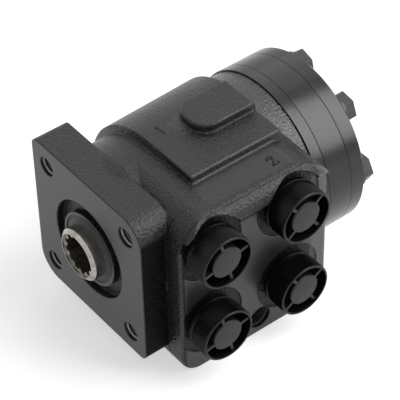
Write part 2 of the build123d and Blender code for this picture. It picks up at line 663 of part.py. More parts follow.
def seal_ring(start):
    """O-ring of the gear set, filling its groove from start along +X."""
    with BuildPart(mode=Mode.PRIVATE) as ring:
        middle = (SEAL_GROOVE_INNER_R + SEAL_GROOVE_OUTER_R) / 2
        with BuildSketch(Plane.XY):
            with Locations((start + SEAL_GROOVE_DEPTH / 2, middle)):
                RectangleRounded(SEAL_GROOVE_DEPTH - SEAL_SQUEEZE,
                                 SEAL_GROOVE_OUTER_R - SEAL_GROOVE_INNER_R - 4 * SEAL_SQUEEZE, 0.4)
        revolve(axis=Axis.X)
    return ring.part


finish(seal_ring(PLATE_START), "plate_seal_ring")
finish(seal_ring(RIM_START), "rim_seal_ring")
finish(seal_ring(COVER_START - SEAL_GROOVE_DEPTH), "cover_seal_ring")


# ---- bolts and washers ------------------------------------------------------------
def cover_bolt(first, count, tip_length):
    """Hexagon bolts from place first on, each reaching tip_length into the housing."""
    head_start = COVER_END + WASHER_THICK
    with BuildPart(mode=Mode.PRIVATE) as bolts:
        with BuildSketch(across(head_start)):
            with bolt_places(first, count):
                RegularPolygon(BOLT_HEAD_AF / sqrt(3), 6)
        extrude(amount=BOLT_HEAD_HEIGHT)
        with BuildSketch(across(head_start + BOLT_HEAD_HEIGHT)):
            with bolt_places(first, count):
                Circle(BOLT_HEAD_AF / sqrt(3) + 0.1)
        extrude(amount=-BOLT_HEAD_HEIGHT, taper=-BOLT_HEAD_BEVEL, mode=Mode.INTERSECT)
        with BuildSketch(across(HOUSING_LENGTH - tip_length)):
            with bolt_places(first, count):
                Circle(BOLT_R)
        extrude(amount=head_start - HOUSING_LENGTH + tip_length)
    return bolts.part


finish(cover_bolt(1, LOBES - 1, BOLT_TAP_DEPTH - BOLT_TIP_GAP), "cover_bolts")
finish(cover_bolt(0, 1, BOLT_TAP_DEPTH - BOLT_TIP_GAP), "pin_bolt")

with BuildPart() as bolt_washers:
    with BuildSketch(across(COVER_END)):
        with bolt_places():
            Circle(WASHER_R)
        with bolt_places():
            Circle(BOLT_HOLE_R, mode=Mode.SUBTRACT)
    extrude(amount=WASHER_THICK)
finish(bolt_washers.part, "bolt_washers")


# ---- check valve --------------------------------------------------------------------
def check_plane(x):
    """Plane square to the check valve's axis at x."""
    return Plane(origin=(x, CHECK_Y, CHECK_Z), x_dir=(0, 1, 0), z_dir=(1, 0, 0))


with BuildPart() as check_valve_seat:
    with BuildSketch(check_plane(CHECK_BORE_END)):
        Circle(CHECK_BORE_R)
        Circle(CHECK_SEAT_HOLE_R, mode=Mode.SUBTRACT)
    extrude(amount=CHECK_SEAT_LENGTH)
finish(check_valve_seat.part, "check_valve_seat")

with BuildPart() as check_valve_ball:
    with Locations((CHECK_BALL_X, CHECK_Y, CHECK_Z)):
        Sphere(CHECK_BALL_R)
finish(check_valve_ball.part, "check_valve_ball")

with BuildPart() as check_valve_stop:
    with BuildSketch(check_plane(CHECK_STOP_START)):
        Circle(CHECK_BORE_R)
        with PolarLocations(CHECK_STOP_HOLE_CIRCLE_R, 3):
            Circle(CHECK_STOP_HOLE_R, mode=Mode.SUBTRACT)
    extrude(amount=HOUSING_LENGTH - CHECK_STOP_START - RUNNING_FIT)
finish(check_valve_stop.part, "check_valve_stop")


# ---- port plugs ------------------------------------------------------------------
def port_plug(x, z, turn):
    """Plastic plug of one port: nose, collar, ring, and a hub held by four spokes."""
    seat = SPOTFACE_Y - PLUG_SEAT_GAP
    with BuildPart(mode=Mode.PRIVATE) as plug:
        for start, radius, length in ((seat + PLUG_NOSE_LENGTH, PLUG_NOSE_R, PLUG_NOSE_LENGTH),
                                      (seat, PLUG_COLLAR_R, PLUG_COLLAR_LENGTH),
                                      (seat - PLUG_COLLAR_LENGTH, PLUG_RING_R,
                                       PLUG_HEIGHT - PLUG_COLLAR_LENGTH)):
            with BuildSketch(ports(start)):
                with Locations((x, z)):
                    Circle(radius)
            extrude(amount=length)
        # hollow nose
        with BuildSketch(ports(seat + PLUG_NOSE_LENGTH)):
            with Locations((x, z)):
                Circle(PLUG_NOSE_BORE_R)
        extrude(amount=PLUG_NOSE_LENGTH, mode=Mode.SUBTRACT)
        # cup, leaving the hub and its spokes
        with BuildSketch(ports(seat - PLUG_HEIGHT)):
            with Locations((x, z)):
                Circle(PLUG_RING_R - PLUG_RING_WALL)
                Circle(PLUG_HUB_R, mode=Mode.SUBTRACT)
            for angle in (turn, turn + 90):
                with Locations(Location((x, z, 0), (0, 0, angle))):
                    Rectangle(2 * PLUG_RING_R, PLUG_SPOKE, mode=Mode.SUBTRACT)
        extrude(amount=-PLUG_CUP_DEPTH, mode=Mode.SUBTRACT)
        with BuildSketch(ports(seat - PLUG_HEIGHT)):
            with Locations((x, z)):
                Circle(PLUG_RING_R - PLUG_RING_WALL)
        extrude(amount=-PLUG_HUB_DROP, mode=Mode.SUBTRACT)
        chamfer(plug.edges().filter_by(GeomType.CIRCLE).group_by(Axis.Y)[0], 0.3)
    return plug.part


plug_places = {"a": (PORT_X[0], PORT_Z[0]), "b": (PORT_X[0], PORT_Z[1]),
               "c": (PORT_X[1], PORT_Z[1]), "d": (PORT_X[1], PORT_Z[0])}
for letter, (x, z) in plug_places.items():
    finish(port_plug(x, z, PLUG_TURNS[letter]), f"port_plug_{letter}")
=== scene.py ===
"""Orbital steering unit: finishes, threads, moulded plugs, cast figures, studio and camera."""
import json
from math import cos, hypot, radians, sin, tau

import bmesh
import bpy
from mathutils import Matrix, Vector


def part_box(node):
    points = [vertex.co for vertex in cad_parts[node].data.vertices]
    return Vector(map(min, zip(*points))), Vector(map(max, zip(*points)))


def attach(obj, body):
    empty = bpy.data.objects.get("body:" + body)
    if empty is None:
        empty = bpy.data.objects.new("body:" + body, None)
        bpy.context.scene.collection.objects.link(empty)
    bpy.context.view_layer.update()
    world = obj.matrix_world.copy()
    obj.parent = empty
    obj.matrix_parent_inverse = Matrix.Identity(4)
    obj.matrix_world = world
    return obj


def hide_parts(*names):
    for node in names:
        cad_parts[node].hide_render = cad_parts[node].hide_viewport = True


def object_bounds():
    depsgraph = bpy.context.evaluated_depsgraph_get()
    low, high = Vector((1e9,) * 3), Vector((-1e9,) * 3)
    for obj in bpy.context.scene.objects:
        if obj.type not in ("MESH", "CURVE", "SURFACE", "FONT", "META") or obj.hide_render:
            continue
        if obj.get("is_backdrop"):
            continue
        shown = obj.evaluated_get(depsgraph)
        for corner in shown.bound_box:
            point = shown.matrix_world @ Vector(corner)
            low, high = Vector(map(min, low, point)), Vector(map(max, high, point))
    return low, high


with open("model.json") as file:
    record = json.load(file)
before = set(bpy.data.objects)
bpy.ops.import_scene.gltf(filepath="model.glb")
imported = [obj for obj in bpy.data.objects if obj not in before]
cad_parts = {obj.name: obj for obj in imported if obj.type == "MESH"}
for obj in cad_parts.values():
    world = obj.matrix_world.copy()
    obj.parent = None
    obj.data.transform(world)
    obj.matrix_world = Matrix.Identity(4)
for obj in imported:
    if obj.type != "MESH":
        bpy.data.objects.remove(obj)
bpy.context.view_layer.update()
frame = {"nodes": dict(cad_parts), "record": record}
MM = 0.001
WELD = 1e-6                         # metres: points nearer than this are one
AIM_POINT = Vector((0.06, 0, 0))    # middle of the unit, which lamps and camera face


# ---- places read from the frame ---------------------------------------------

def mount(name):
    """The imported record's mount of that name."""
    return next(m for m in frame["record"]["mounts"] if m["name"] == name)


def mouth(port):
    """The middle of a port's mouth, in metres."""
    return Vector(port["pos_m"]) + Vector(port["axis"]) * port["dims"]["length_mm"] / 2 * MM


# ---- materials: helpers ------------------------------------------------------

SPREAD = (0.3, 0.7)                 # noise lies mostly between these
MIX_A, MIX_B, MIX_RESULT = 6, 7, 2  # a mix node's sockets for colours


def linear(hex_colour):
    """An sRGB hex colour as linear RGBA."""
    channels = [int(hex_colour[i:i + 2], 16) / 255 for i in (0, 2, 4)]
    return tuple(c / 12.92 if c <= 0.04045 else ((c + 0.055) / 1.055) ** 2.4 for c in channels) + (1.0,)


def node(tree, kind, inputs=None, **settings):
    """Adds a node, sets its properties, and sets or links its inputs by name or number."""
    made = tree.nodes.new(kind)
    for key, value in settings.items():
        setattr(made, key, value)
    for key, value in (inputs or {}).items():
        if isinstance(value, bpy.types.NodeSocket):
            tree.links.new(value, made.inputs[key])
        else:
            made.inputs[key].default_value = value
    return made


def new_material(name):
    """An empty material: its node tree, its shader and its object coordinates in metres."""
    material = bpy.data.materials.new(name)
    material.use_nodes = True
    tree = material.node_tree
    tree.nodes.clear()
    shader = node(tree, "ShaderNodeBsdfPrincipled")
    output = node(tree, "ShaderNodeOutputMaterial")
    tree.links.new(shader.outputs["BSDF"], output.inputs["Surface"])
    place = node(tree, "ShaderNodeTexCoord").outputs["Object"]
    return material, tree, shader, place


def ramp(tree, factor, low, high, low_value=0.0, high_value=1.0):
    """Maps factor from low..high to low_value..high_value, clamped."""
    made = node(tree, "ShaderNodeMapRange", {"Value": factor, "From Min": low, "From Max": high,
                                             "To Min": low_value, "To Max": high_value})
    return made.outputs["Result"]


def between(tree, mask, outside, inside):
    """One value outside a mask and another inside it."""
    return ramp(tree, mask, 0.0, 1.0, outside, inside)


def maths(tree, operation, first, second=0.0):
    return node(tree, "ShaderNodeMath", {0: first, 1: second}, operation=operation).outputs[0]


def noise(tree, place, grain_mm, detail=3.0, roughness=0.55):
    """Noise whose features are about grain_mm across."""
    made = node(tree, "ShaderNodeTexNoise", {"Vector": place, "Scale": 1000 / grain_mm,
                                             "Detail": detail, "Roughness": roughness})
    return made.outputs["Fac"]


def mix_colour(tree, factor, first, second):
    """Blends two colours, each a value or a socket."""
    made = node(tree, "ShaderNodeMix", {"Factor": factor, MIX_A: first, MIX_B: second}, data_type="RGBA")
    return made.outputs[MIX_RESULT]


def band(tree, coordinate, low, high, soft=0.0002):
    """1 where a coordinate lies between low and high, 0 outside, with soft edges."""
    above = ramp(tree, coordinate, low - soft, low + soft)
    below = ramp(tree, coordinate, high - soft, high + soft, 1.0, 0.0)
    return maths(tree, "MULTIPLY", above, below)


def lathe_rings(tree, place, grain_mm):
    """Noise that changes along the shaft only, so that it lies in rings about it."""
    axes = node(tree, "ShaderNodeSeparateXYZ", {"Vector": place})
    along = node(tree, "ShaderNodeCombineXYZ", {"X": axes.outputs["X"]})
    return noise(tree, along.outputs[0], grain_mm, 2.0)


def add_bump(tree, shader, height, distance, strength=0.5, normal=None):
    """Lifts the surface by a height, over a normal where one is given."""
    inputs = {"Height": height, "Distance": distance, "Strength": strength}
    if normal is not None:
        inputs["Normal"] = normal
    made = node(tree, "ShaderNodeBump", inputs)
    tree.links.new(made.outputs["Normal"], shader.inputs["Normal"])


# ---- materials ----------------------------------------------------------------

# Zones of the casting, in metres. A zone lies between a band's two values, and fades out
# across an edge's two values.
SHARP = 0.0001                          # half the fade of a band with sharp edges
FLANGE_FACE_EDGE_X = (0.0002, 0.0005)   # column flange: milled face
FLANGE_BACK_EDGE_X = (0.0178, 0.0182)   # column flange: its rear
FLANGE_SIDE_BAND_Y = (-0.0403, -0.0397)
PORT_FACE_HALF_BAND = 0.0002            # either side of the milled port face
PORT_FACE_EDGE_Z = (0.0268, 0.0274)
PAD_RISER_BAND_Z = (0.0412, 0.0451)     # wall of the top pad
PAD_RISER_EDGE_Y = (-0.0302, -0.0299)
PAD_RISER_EDGE_X = (0.0325, 0.0335)
BOSS_RISER_BAND_Z = (0.0453, 0.0490)    # wall of the boss on the pad
BARREL_EDGE_X = (0.0858, 0.0864)        # round end beside the distributor plate
# Painted shade: the spot faces round the plugs are made near black and dull, for the plugs' shadow and
# reflection on them.
PAINTED_SHADE_DEPTH_BAND = (0.0003, 0.0007)      # spot faces, measured inward from the port face
PAINTED_SHADE_EDGE_X = (0.0, 0.011)

# Cast enamel: how the grain is made up, and how each zone differs.
SAND_SHARE = 0.75                       # of the grain; the rest is the skin's slow waves
SWIRL_SHARE = 0.05                      # fine unevenness, which milled faces have too
GRAIN_HEIGHT = 0.0011                   # metres
BUMP_CAST, BUMP_RISER = 0.8, 0.25
EDGE_CAST, EDGE_RISER = 0.0009, 0.0022  # metres: rounding of the paint at edges
ROUGH_CAST = (0.28, 0.40)
ROUGH_DROP = 0.06                       # barrel and risers are smoother by this
# The second level is painted shade: the flange's side beside the ports reflects almost nothing.
LEVEL_CAST, LEVEL_PAINTED_SHADE = 0.38, 0.03
LEVEL_GAIN_BARREL, LEVEL_GAIN_MILLED = 0.3, 0.1
PAINTED_SHADE_DULLNESS = 0.6                     # painted shade in the spot faces; the flange's side beside the ports is 1


def casting_zones(tree, place):
    """Masks of the casting: milled, riser, painted shade of the spot faces, barrel, and painted shade of
    the flange's side.
    """
    axes = node(tree, "ShaderNodeSeparateXYZ", {"Vector": place})
    x, y, z = (axes.outputs[name] for name in "XYZ")
    port_face = mouth(mount("sensing_port")).y

    milled_flange = ramp(tree, x, *FLANGE_FACE_EDGE_X, 1.0, 0.0)
    on_port_face = band(tree, y, port_face - PORT_FACE_HALF_BAND, port_face + PORT_FACE_HALF_BAND, SHARP)
    milled_ports = maths(tree, "MULTIPLY", ramp(tree, z, *PORT_FACE_EDGE_Z, 1.0, 0.0), on_port_face)
    milled = maths(tree, "MAXIMUM", milled_flange, milled_ports)

    pad_riser = maths(tree, "MULTIPLY", band(tree, z, *PAD_RISER_BAND_Z, SHARP),
                      ramp(tree, y, *PAD_RISER_EDGE_Y, 1.0, 0.0))
    pad_riser = maths(tree, "MULTIPLY", pad_riser, ramp(tree, x, *PAD_RISER_EDGE_X))
    riser = maths(tree, "MAXIMUM", pad_riser, band(tree, z, *BOSS_RISER_BAND_Z, SHARP))

    # Painted shade: the floor of each spot face, where the plugs' shadow and reflection fall.
    low, high = PAINTED_SHADE_DEPTH_BAND
    painted_shade_spots = maths(tree, "MULTIPLY", band(tree, y, port_face + low, port_face + high),
                   ramp(tree, x, *PAINTED_SHADE_EDGE_X))
    barrel = ramp(tree, x, *BARREL_EDGE_X)
    # Painted shade: the flange's side beside the port block, dark where shade falls between them.
    painted_shade_side = maths(tree, "MULTIPLY", ramp(tree, x, *FLANGE_BACK_EDGE_X, 1.0, 0.0),
                      band(tree, y, *FLANGE_SIDE_BAND_Y))
    return milled, riser, painted_shade_spots, barrel, painted_shade_side


def cast_enamel():
    """Black enamel sprayed over sand-cast iron: the mould's grain shows through it. The milled
    flange and port faces are smoother and greyer. As painted shade, the spot faces are near
    black and dull, and the flange's side beside the ports reflects almost nothing."""
    material, tree, shader, place = new_material("cast_enamel")
    milled, riser, painted_shade_spots, barrel, painted_shade_side = casting_zones(tree, place)
    cast = maths(tree, "SUBTRACT", 1.0, milled)

    sand = noise(tree, place, 1.2, 3.0, 0.5)
    skin = noise(tree, place, 3.5, 2.0)
    swirl = noise(tree, place, 0.5, 2.0)
    grain = maths(tree, "ADD", maths(tree, "MULTIPLY", sand, SAND_SHARE),
                  maths(tree, "MULTIPLY", skin, 1 - SAND_SHARE))

    painted = mix_colour(tree, ramp(tree, grain, 0.35, 0.65), linear("0b0b0b"), linear("171716"))
    bare = mix_colour(tree, noise(tree, place, 7.0), linear("151817"), linear("1b1e1d"))
    colour = mix_colour(tree, milled, painted, bare)
    # Painted shade: the spot faces round the plugs turn near black.
    colour = mix_colour(tree, painted_shade_spots, colour, linear("050505"))
    tree.links.new(colour, shader.inputs["Base Color"])

    smooth = maths(tree, "MULTIPLY", maths(tree, "MAXIMUM", barrel, riser), ROUGH_DROP)
    rough = maths(tree, "SUBTRACT", ramp(tree, grain, *SPREAD, *ROUGH_CAST), smooth)
    tree.links.new(rough, shader.inputs["Roughness"])

    # Painted shade: the spot faces and the flange's side beside the ports reflect less, so they render
    # darker.
    dull = maths(tree, "MAXIMUM", painted_shade_side, maths(tree, "MULTIPLY", painted_shade_spots, PAINTED_SHADE_DULLNESS))
    dull = maths(tree, "MULTIPLY", dull, cast)
    level = maths(tree, "ADD", between(tree, dull, LEVEL_CAST, LEVEL_PAINTED_SHADE),
                  maths(tree, "MULTIPLY", barrel, LEVEL_GAIN_BARREL))
    level = maths(tree, "ADD", level, maths(tree, "MULTIPLY", milled, LEVEL_GAIN_MILLED))
    tree.links.new(level, shader.inputs["Specular IOR Level"])

    height = maths(tree, "ADD", maths(tree, "MULTIPLY", grain, cast),
                   maths(tree, "MULTIPLY", swirl, SWIRL_SHARE))
    rounding = between(tree, riser, EDGE_CAST, EDGE_RISER)
    edge = node(tree, "ShaderNodeBevel", {"Radius": rounding}, samples=8)
    add_bump(tree, shader, height, GRAIN_HEIGHT, between(tree, riser, BUMP_CAST, BUMP_RISER),
             edge.outputs["Normal"])
    return material


def turned_enamel():
    """Black satin enamel over turned steel: almost smooth, with faint rings from the lathe."""
    material, tree, shader, place = new_material("turned_enamel")
    rings = lathe_rings(tree, place, 0.5)
    peel = noise(tree, place, 2.2, 2.0)
    tone = mix_colour(tree, noise(tree, place, 14.0), linear("0a0a0a"), linear("101010"))
    tree.links.new(tone, shader.inputs["Base Color"])
    tree.links.new(ramp(tree, peel, *SPREAD, 0.22, 0.27), shader.inputs["Roughness"])
    shader.inputs["Specular IOR Level"].default_value = 0.42
    height = maths(tree, "ADD", maths(tree, "MULTIPLY", rings, 0.5), maths(tree, "MULTIPLY", peel, 0.5))
    add_bump(tree, shader, height, 0.00003)
    return material


def ground_steel():
    """Hardened steel, turned and ground: bright, with hair-fine rings about the shaft."""
    material, tree, shader, place = new_material("ground_steel")
    rings = lathe_rings(tree, place, 0.25)
    stain = noise(tree, place, 4.0, 3.0)
    tone = mix_colour(tree, ramp(tree, stain, 0.35, 0.7), linear("8f8c86"), linear("b4b1aa"))
    tree.links.new(tone, shader.inputs["Base Color"])
    shader.inputs["Metallic"].default_value = 1.0
    tree.links.new(ramp(tree, rings, *SPREAD, 0.22, 0.34), shader.inputs["Roughness"])
    add_bump(tree, shader, rings, 0.00003)
    return material


def tapped_iron():
    """Bare cast iron where a tap has cut through the paint: grey, dull, faintly oiled."""
    material, tree, shader, place = new_material("tapped_iron")
    tone = mix_colour(tree, noise(tree, place, 1.0), linear("4a4845"), linear("8b8780"))
    tree.links.new(tone, shader.inputs["Base Color"])
    shader.inputs["Metallic"].default_value = 1.0
    shader.inputs["Roughness"].default_value = 0.34
    return material


def blackened_steel():
    """Black-oxide bolt steel: dark grey metal with rubbed corners."""
    material, tree, shader, place = new_material("blackened_steel")
    rub = noise(tree, place, 1.6, 3.0)
    tone = mix_colour(tree, ramp(tree, rub, 0.35, 0.75), linear("2c2c2c"), linear("444443"))
    tree.links.new(tone, shader.inputs["Base Color"])
    shader.inputs["Metallic"].default_value = 0.35
    tree.links.new(ramp(tree, rub, *SPREAD, 0.34, 0.46), shader.inputs["Roughness"])
    edge = node(tree, "ShaderNodeBevel", {"Radius": 0.0003}, samples=6)
    add_bump(tree, shader, rub, 0.00005, normal=edge.outputs["Normal"])
    return material


def nitrile():
    """Nitrile rubber: near black, soft sheen."""
    material, tree, shader, place = new_material("nitrile")
    tone = mix_colour(tree, noise(tree, place, 3.0), linear("0d0d0d"), linear("161616"))
    tree.links.new(tone, shader.inputs["Base Color"])
    shader.inputs["Roughness"].default_value = 0.5
    return material


def moulded_polyethylene(name, dark, light, rough, level):
    """Black polyethylene from a polished mould, with a waxy gloss."""
    material, tree, shader, place = new_material(name)
    cloud = noise(tree, place, 3.0, 3.0)
    shader.inputs["Specular IOR Level"].default_value = level
    tree.links.new(mix_colour(tree, cloud, linear(dark), linear(light)), shader.inputs["Base Color"])
    tree.links.new(ramp(tree, cloud, *SPREAD, rough, rough + 0.1), shader.inputs["Roughness"])
    add_bump(tree, shader, noise(tree, place, 0.7), 0.00004)
    return material


CAST = cast_enamel()
TURNED = turned_enamel()
STEEL = ground_steel()
TAPPED = tapped_iron()
OXIDE = blackened_steel()
RUBBER = nitrile()
PLASTIC = moulded_polyethylene("moulded_polyethylene", "050505", "090909", 0.30, 0.22)
PLASTIC_FACE = moulded_polyethylene("rubbed_polyethylene", "101111", "161717", 0.34, 0.3)

FINISHES = {
    CAST: ("housing",),
    TURNED: ("distributor_plate", "gear_rim", "end_cover"),
    STEEL: ("spool", "sleeve", "cross_pin", "spring_ring", "centring_springs", "cardan_shaft",
            "distance_piece", "bearing_outer_race", "bearing_inner_race", "bearing_needle_cage",
            "rotor", "check_valve_ball", "check_valve_seat", "check_valve_stop"),
    OXIDE: ("cover_bolts", "pin_bolt", "bolt_washers"),
    RUBBER: ("dust_seal", "shaft_seal", "plate_seal_ring", "rim_seal_ring", "cover_seal_ring"),
    PLASTIC: ("port_plug_a", "port_plug_b", "port_plug_c", "port_plug_d"),
}
for material, names in FINISHES.items():
    for name in names:
        for slot in frame["nodes"][name].material_slots:
            slot.material = material


# ---- making pieces --------------------------------------------------------------

def piece(name, bm, material, body):
    """A mesh object from bm, with its material, riding on a body."""
    mesh = bpy.data.meshes.new(name)
    bm.to_mesh(mesh)
    bm.free()
    made = bpy.data.objects.new(name, mesh)
    bpy.context.scene.collection.objects.link(made)
    mesh.materials.append(material)
    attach(made, body)
    return made


def aimed(origin, axis):
    """Matrix that takes +Z to axis and the origin to origin, in metres."""
    turn = Vector(axis).to_track_quat("Z", "Y").to_matrix().to_4x4()
    return Matrix.Translation(Vector(origin)) @ turn


def turned_shape(bm, profile, segments):
    """Spins a profile of (radius, height) points in mm about Z; points on the axis close it."""
    points = [bm.verts.new((r * MM, 0, h * MM)) for r, h in profile]
    edges = [bm.edges.new(pair) for pair in zip(points, points[1:])]
    bmesh.ops.spin(bm, geom=points + edges, cent=(0, 0, 0), axis=(0, 0, 1), angle=tau,
                   steps=segments, use_merge=True)
    bmesh.ops.remove_doubles(bm, verts=bm.verts, dist=WELD)
    bmesh.ops.recalc_face_normals(bm, faces=bm.faces)


THREAD_STEPS = 28                   # sections in one turn
THREAD_ROOT = 0.05                  # mm that a ridge stands into the wall behind it
THREAD_HALF_ROOT = 0.46             # half a ridge's width at its root, in pitches
THREAD_HALF_CREST = 0.06            # the same at its crest
THREAD_START = 0.8                  # depth of the first ridge, in pitches
METRIC_FINE = (1.5, 0.75)           # M10 and M12 x 1.5: pitch and ridge height, in mm
PIPE_HALF = (1.814, 0.6)            # G 1/2
COLUMN_THREAD_DEPTH = 14.0


def thread(name, start, axis, wall_r, depth, pitch, height, material=TAPPED):
    """A cut thread that stands inward from the wall of a hole, from its mouth down."""
    bm = bmesh.new()
    turns = int((depth - pitch) / pitch)
    root, crest = pitch * THREAD_HALF_ROOT, pitch * THREAD_HALF_CREST
    corners = [(wall_r + THREAD_ROOT, -root), (wall_r - height, -crest),
               (wall_r - height, crest), (wall_r + THREAD_ROOT, root)]
    points = [bm.verts.new((r * MM, 0, (h - pitch * THREAD_START) * MM)) for r, h in corners]
    edges = [bm.edges.new(pair) for pair in zip(points, points[1:])]
    bmesh.ops.spin(bm, geom=points + edges, cent=(0, 0, 0), axis=(0, 0, 1),
                   dvec=(0, 0, -pitch * MM / THREAD_STEPS), angle=tau * turns,
                   steps=THREAD_STEPS * turns)
    bmesh.ops.recalc_face_normals(bm, faces=bm.faces)
    bmesh.ops.reverse_faces(bm, faces=bm.faces)
    bmesh.ops.transform(bm, matrix=aimed(start, axis), verts=bm.verts)
    return piece(name, bm, material, "casing")


def column_threads():
    """M10 threads of the four column holes."""
    pattern = mount("column_bolts")
    circle = pattern["dims"]["pcd_mm"] / 2
    for k in range(pattern["dims"]["count"]):
        turn = radians(45 + 90 * k)
        start = (0, circle * cos(turn) * MM, circle * sin(turn) * MM)
        thread(f"column_thread_{k + 1}", start, pattern["axis"], pattern["dims"]["hole_r_mm"],
               COLUMN_THREAD_DEPTH, *METRIC_FINE)


def port_threads():
    """Threads of the sensing port and of the four plugged ports."""
    sensing = mount("sensing_port")
    thread("sensing_thread", mouth(sensing), sensing["axis"], sensing["dims"]["r_mm"],
           sensing["dims"]["length_mm"], *METRIC_FINE, CAST)
    for letter in "abcd":
        port = mount(f"port_{letter}")
        thread(f"port_thread_{letter}", mouth(port), port["axis"], port["dims"]["r_mm"],
               port["dims"]["length_mm"], *PIPE_HALF)


# ---- moulded port plugs ---------------------------------------------------------

# In mm, heights from the port face.
PLUG_RING_R = 13.5
PLUG_KNURLS = 84
PLUG_KNURL_DEPTH = 0.42
PLUG_HEIGHT = 13.2
PLUG_COLLAR = 3.0
PLUG_NOSE = 3.2                     # length that stands in the port
PLUG_WALL = 1.3
PLUG_CUP_R = PLUG_RING_R - PLUG_WALL
PLUG_CUP_FLOOR = PLUG_HEIGHT - 8.5
PLUG_GRIP_LOW = PLUG_COLLAR + 0.5
PLUG_GRIP_HIGH = PLUG_HEIGHT - 0.9
PLUG_HUB_R = 7.9
PLUG_HUB_TOP = PLUG_HEIGHT - 0.6
PLUG_HUB_SUNK = 0.2                 # hub and spokes stand this far into the cup's floor
PLUG_SPOKE = 1.5
PLUG_SPOKES = 4
PLUG_SPOKE_TOP = PLUG_HUB_TOP - 0.3
SPOKE_OVERLAP = 0.5                 # a spoke runs this far into the hub and into the ring
SPOKE_ROUND = 0.2
PLUG_TURNS = {"a": 14.0, "b": 14.0, "c": 33.0, "d": 40.0}   # degrees

# Profiles of (radius, height), from the axis round the outside and back to it.
PLUG_BODY = [
    (0, 0.9), (7.6, 0.9), (7.6, -PLUG_NOSE), (9.6, -PLUG_NOSE), (9.9, -PLUG_NOSE + 0.4), (9.9, 0),
    (12.5, 0), (12.8, 0.3), (12.8, 1.2), (12.4, 1.45), (12.4, 1.75), (12.8, 2.0),
    (12.8, PLUG_COLLAR - 0.2), (13.1, PLUG_COLLAR), (13.4, PLUG_COLLAR + 0.25),
    (13.4, PLUG_GRIP_LOW), (12.9, PLUG_GRIP_LOW + 0.05), (12.9, PLUG_GRIP_HIGH - 0.05),
    (13.3, PLUG_GRIP_HIGH), (13.35, PLUG_HEIGHT - 0.4), (13.1, PLUG_HEIGHT - 0.1),
    (12.85, PLUG_HEIGHT), (PLUG_CUP_R + 0.25, PLUG_HEIGHT), (PLUG_CUP_R + 0.05, PLUG_HEIGHT - 0.15),
    (PLUG_CUP_R, PLUG_HEIGHT - 0.5), (PLUG_CUP_R - 0.15, PLUG_CUP_FLOOR + 0.6),
    (PLUG_CUP_R - 0.7, PLUG_CUP_FLOOR), (0, PLUG_CUP_FLOOR)]
PLUG_HUB = [
    (0, PLUG_HUB_TOP + 0.25), (4.0, PLUG_HUB_TOP + 0.18), (7.2, PLUG_HUB_TOP),
    (7.7, PLUG_HUB_TOP - 0.2), (PLUG_HUB_R, PLUG_HUB_TOP - 0.6),
    (PLUG_HUB_R, PLUG_CUP_FLOOR - PLUG_HUB_SUNK)]
PLUG_BODY_SEGMENTS, PLUG_HUB_SEGMENTS = 96, 64


def knurled_band(bm, low, high):
    """The grip of a plug: a ring of fine axial ridges between two heights."""
    circle = bmesh.ops.create_circle(bm, segments=2 * PLUG_KNURLS, radius=PLUG_RING_R * MM)
    ring = sorted(circle["verts"], key=lambda v: v.index)
    valley = (PLUG_RING_R - PLUG_KNURL_DEPTH) / PLUG_RING_R
    for v in ring[::2]:
        v.co *= valley
    bmesh.ops.translate(bm, vec=(0, 0, low * MM), verts=ring)
    edges = list({e for v in ring for e in v.link_edges})
    raised = bmesh.ops.extrude_edge_only(bm, edges=edges)
    top = [g for g in raised["geom"] if isinstance(g, bmesh.types.BMVert)]
    bmesh.ops.translate(bm, vec=(0, 0, (high - low) * MM), verts=top)


def spoke(bm, angle, low, high):
    """One straight spoke between hub and ring."""
    made = bmesh.ops.create_cube(bm, size=1.0)
    reach = PLUG_CUP_R - PLUG_HUB_R + 2 * SPOKE_OVERLAP
    bmesh.ops.scale(bm, vec=(reach * MM, PLUG_SPOKE * MM, (high - low) * MM), verts=made["verts"])
    middle = (PLUG_HUB_R - SPOKE_OVERLAP + reach / 2) * MM
    bmesh.ops.translate(bm, vec=(middle, 0, (high + low) / 2 * MM), verts=made["verts"])
    edges = list({e for v in made["verts"] for e in v.link_edges})
    bevelled = bmesh.ops.bevel(bm, geom=edges, offset=SPOKE_ROUND * MM, segments=2, profile=0.5,
                               affect="EDGES", material=-1)
    verts = list({v for f in bevelled["faces"] for v in f.verts} |
                 {v for v in made["verts"] if v.is_valid})
    bmesh.ops.rotate(bm, cent=(0, 0, 0), matrix=Matrix.Rotation(angle, 3, "Z"), verts=verts)


def port_plug(letter):
    """A plug in four pieces of one moulding: body, grip, hub with spokes."""
    low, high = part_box(f"port_plug_{letter}")
    centre = ((low.x + high.x) / 2, low.y + PLUG_HEIGHT * MM, (low.z + high.z) / 2)
    place = aimed(centre, (0, -1, 0))
    turn = radians(PLUG_TURNS[letter])

    bm = bmesh.new()
    turned_shape(bm, PLUG_BODY, PLUG_BODY_SEGMENTS)
    bmesh.ops.transform(bm, matrix=place, verts=bm.verts)
    body = piece(f"plug_body_{letter}", bm, PLASTIC, f"plug_{letter}")
    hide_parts(f"port_plug_{letter}")

    bm = bmesh.new()
    knurled_band(bm, PLUG_GRIP_LOW, PLUG_GRIP_HIGH)
    bmesh.ops.transform(bm, matrix=place, verts=bm.verts)
    bmesh.ops.recalc_face_normals(bm, faces=bm.faces)
    piece(f"plug_grip_{letter}", bm, PLASTIC, f"plug_{letter}")

    bm = bmesh.new()
    turned_shape(bm, PLUG_HUB, PLUG_HUB_SEGMENTS)
    bmesh.ops.transform(bm, matrix=place, verts=bm.verts)
    piece(f"plug_hub_{letter}", bm, PLASTIC_FACE, f"plug_{letter}")

    bm = bmesh.new()
    for k in range(PLUG_SPOKES):
        spoke(bm, turn + k * tau / PLUG_SPOKES, PLUG_CUP_FLOOR - PLUG_HUB_SUNK, PLUG_SPOKE_TOP)
    bmesh.ops.transform(bm, matrix=place, verts=bm.verts)
    piece(f"plug_spokes_{letter}", bm, PLASTIC_FACE, f"plug_{letter}")


# ---- gear set: outer edges ---------------------------------------------------------

